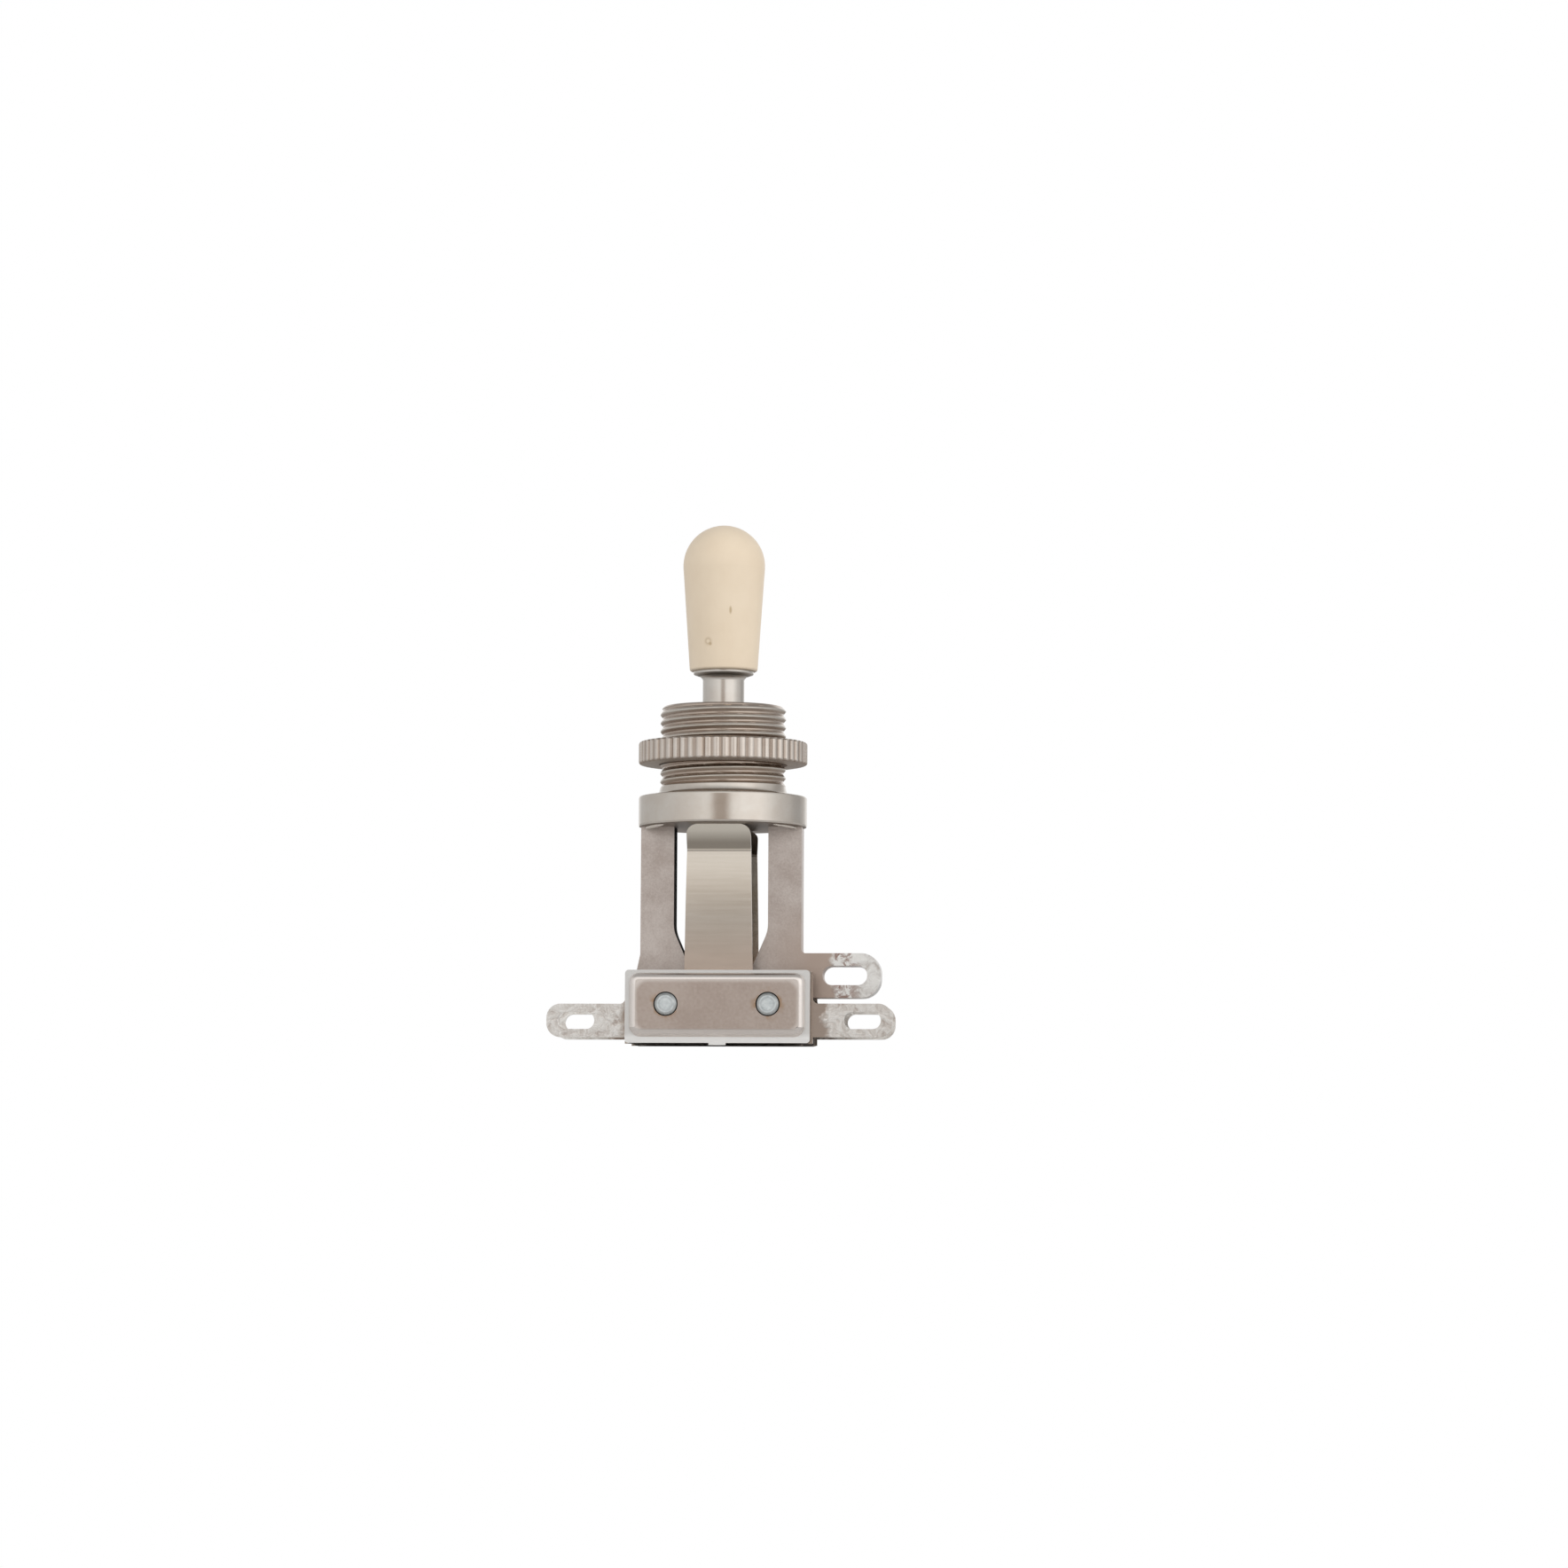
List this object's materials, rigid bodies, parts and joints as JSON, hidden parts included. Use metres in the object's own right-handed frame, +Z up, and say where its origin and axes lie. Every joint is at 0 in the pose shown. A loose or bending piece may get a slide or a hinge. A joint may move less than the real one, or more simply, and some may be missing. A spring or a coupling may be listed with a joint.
{
  "type": "toggle selector switch",
  "caption": "Three-way toggle switch for guitar pickups: tipped lever in a threaded bushing, open frame, stacked leaf contacts with solder lugs.",
  "frame": {"origin": "on the bushing's axis, at the top face of the nut that the panel sits on", "axes": "+Z up along the lever in its middle position, +X along the pivot pin towards the earth lug, -Y to the front where the clamp screws' ends show"},
  "size_m": [0.0324, 0.016, 0.0493],
  "materials": {
    "turned_nickel": "nickel plated over turned metal, satin",
    "frame_nickel": "nickel plated over stamped plate, grainy",
    "plate_nickel": "nickel plated over drawn sheet",
    "leaf_metal": "nickel silver sheet, lugs tinned",
    "contact_silver": "silver alloy, worn bright",
    "pin_steel": "plain ground steel",
    "screw_zinc": "zinc plated",
    "tip_plastic": "cream moulded plastic, half gloss",
    "cam_plastic": "black moulded nylon",
    "insulator": "dark laminated phenolic sheet"
  },
  "bodies": {
    "base": {"bushing": "turned_nickel", "frame": "frame_nickel", "clamp_screws": "screw_zinc", "screw_sleeves": "insulator", "front_inner_insulator": "insulator", "front_short_leaf": "leaf_metal", "front_fixed_contact": "contact_silver", "front_middle_insulator": "insulator", "front_outer_insulator": "insulator", "front_clamp_plate": "plate_nickel", "rear_inner_insulator": "insulator", "rear_short_leaf": "leaf_metal", "rear_fixed_contact": "contact_silver", "rear_middle_insulator": "insulator", "rear_outer_insulator": "insulator", "rear_clamp_plate": "plate_nickel"},
    "nut": {"mounting_nut": "turned_nickel"},
    "pivot": {"pivot_pin": "pin_steel"},
    "lever": {"lever": "turned_nickel", "tip": "tip_plastic", "lever_cam": "cam_plastic"},
    "front_spring": {"front_long_leaf": "leaf_metal", "front_moving_contact": "contact_silver"},
    "rear_spring": {"rear_long_leaf": "leaf_metal", "rear_moving_contact": "contact_silver"}
  },
  "joints": [
    {"name": "nut_turn", "type": "hinge", "parent": "base", "child": "nut", "pos_m": [0, 0, 0], "axis": [0, 0, 1], "continuous": true},
    {"name": "throw_forward", "type": "hinge", "parent": "base", "child": "pivot", "pos_m": [0, 0, -0.00712], "axis": [1, 0, 0], "range_deg": [0, 12]},
    {"name": "throw_back", "type": "hinge", "parent": "pivot", "child": "lever", "pos_m": [0, 0, -0.00712], "axis": [1, 0, 0], "range_deg": [-12, 0]},
    {"name": "front_leaf_bend", "type": "hinge", "parent": "base", "child": "front_spring", "pos_m": [0, -0.0039, -0.02172], "axis": [1, 0, 0], "range_deg": [0, 4.2], "deforming": ["front_long_leaf"]},
    {"name": "rear_leaf_bend", "type": "hinge", "parent": "base", "child": "rear_spring", "pos_m": [0, 0.0039, -0.02172], "axis": [1, 0, 0], "range_deg": [-4.2, 0], "deforming": ["rear_long_leaf"]}
  ],
  "couplings": [
    {"joint": "front_leaf_bend", "follows": "throw_back", "ratio": -0.35},
    {"joint": "rear_leaf_bend", "follows": "throw_forward", "ratio": -0.35}
  ]
}
